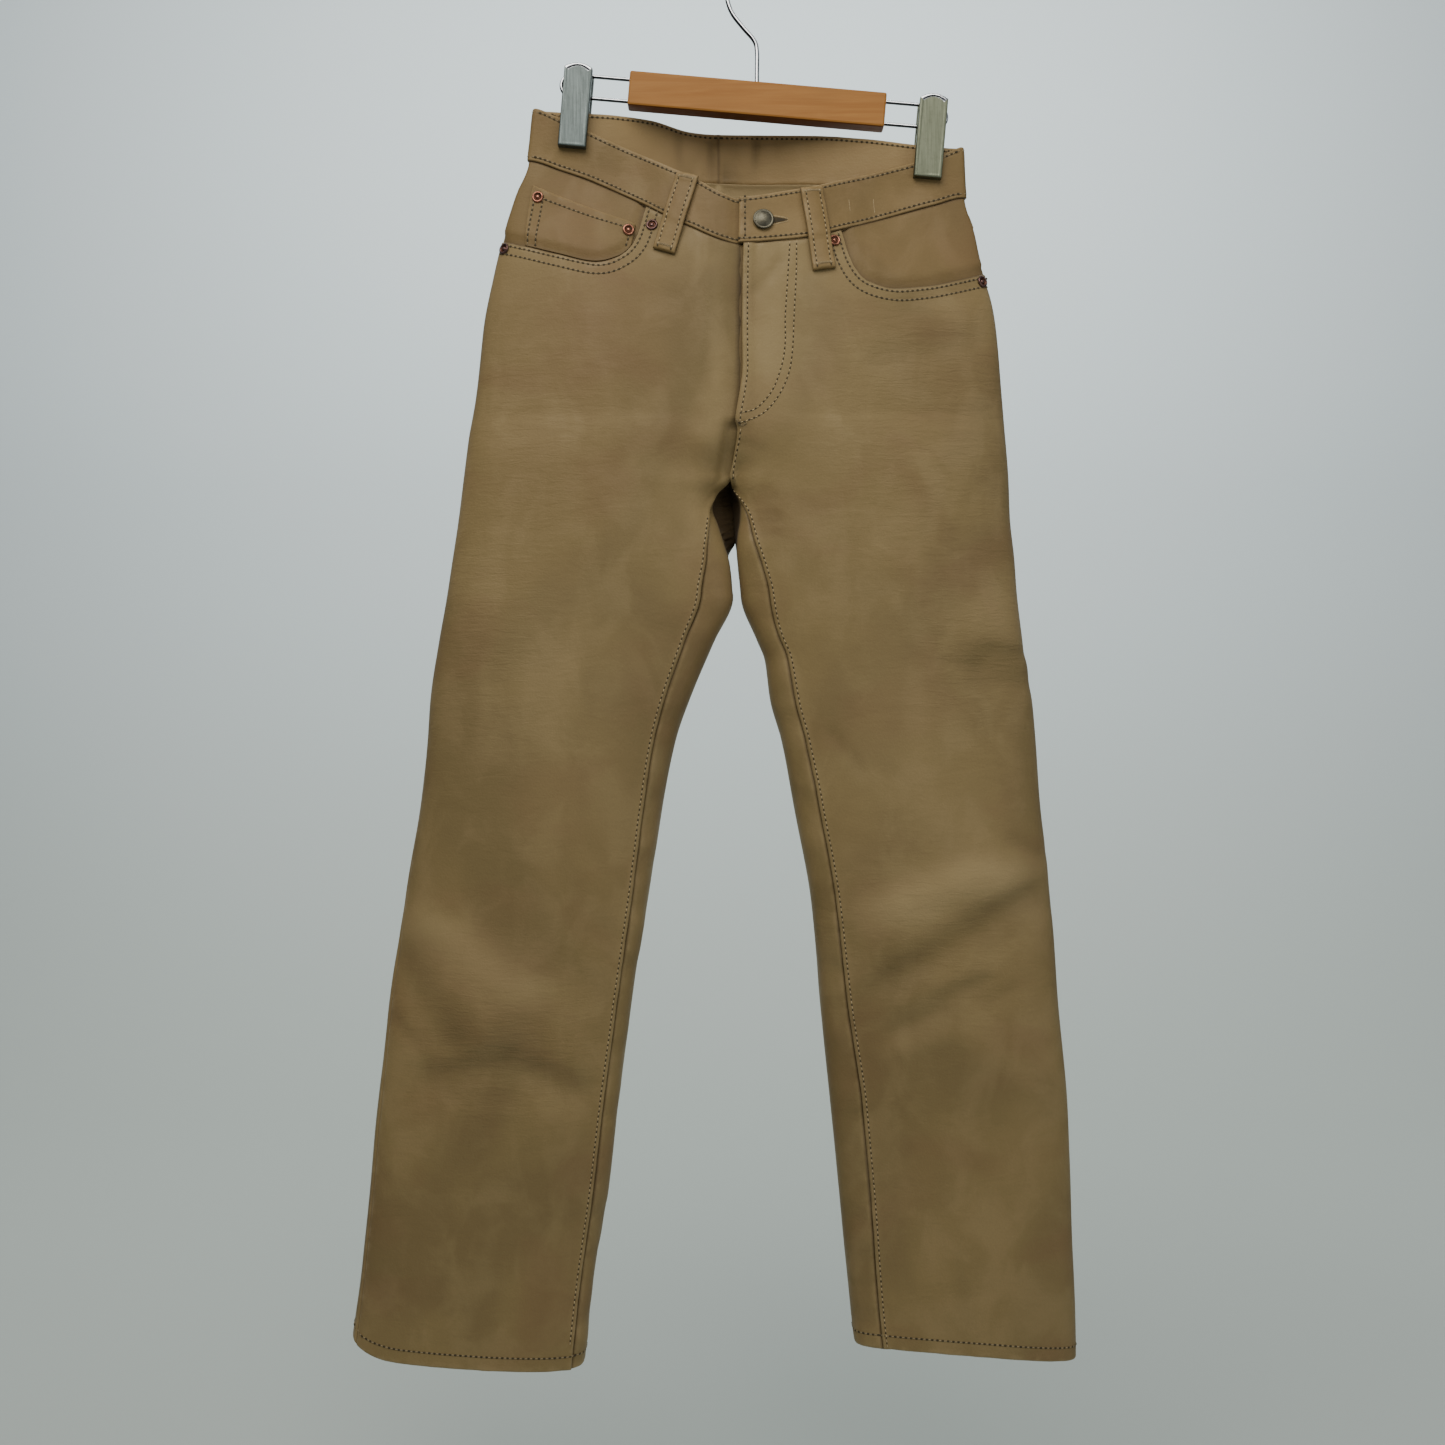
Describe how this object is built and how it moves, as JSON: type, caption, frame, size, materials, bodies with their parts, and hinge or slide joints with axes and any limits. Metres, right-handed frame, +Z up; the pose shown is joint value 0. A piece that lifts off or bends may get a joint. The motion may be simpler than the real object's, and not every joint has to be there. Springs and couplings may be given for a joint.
{
  "type": "leather trousers on a clip hanger",
  "caption": "Straight-cut leather trousers hanging by the waistband from a wooden bar hanger with steel clips and a wire hook.",
  "frame": {"origin": "inside of the hook's bend, where it rests on a rail", "axes": "+X to the viewer's right across the trousers, -Y out of the front, +Z up"},
  "size_m": [0.5974, 0.0872, 1.1641],
  "materials": {
    "leather": "soft matt tan nappa, worn a little lighter on edges",
    "button_metal": "dark antique",
    "rivet_copper": "dulled copper",
    "chrome_wire": "polished",
    "bar_wood": "satin varnish",
    "clip_steel": "brushed"
  },
  "bodies": {
    "root": {"front_left": "leather", "front_right": "leather", "back_left": "leather", "back_right": "leather", "yoke_left": "leather", "yoke_right": "leather", "band_left": "leather", "band_right": "leather", "facing_left": "leather", "facing_right": "leather", "coin_pocket": "leather", "fly_shield": "leather", "loop_front_left": "leather", "loop_front_right": "leather", "loop_back_left": "leather", "loop_back_centre": "leather", "loop_back_right": "leather", "button": "button_metal", "rivet_left_band": "rivet_copper", "rivet_left_side": "rivet_copper", "rivet_coin_outer": "rivet_copper", "rivet_coin_inner": "rivet_copper", "rivet_right_band": "rivet_copper", "rivet_right_side": "rivet_copper", "hanger_hook": "chrome_wire", "hanger_wire_left": "chrome_wire", "hanger_wire_right": "chrome_wire", "hanger_bar": "bar_wood", "clip_left_front": "clip_steel", "clip_left_back": "clip_steel", "clip_left_spring": "clip_steel", "clip_right_front": "clip_steel", "clip_right_back": "clip_steel", "clip_right_spring": "clip_steel"}
  },
  "joints": []
}
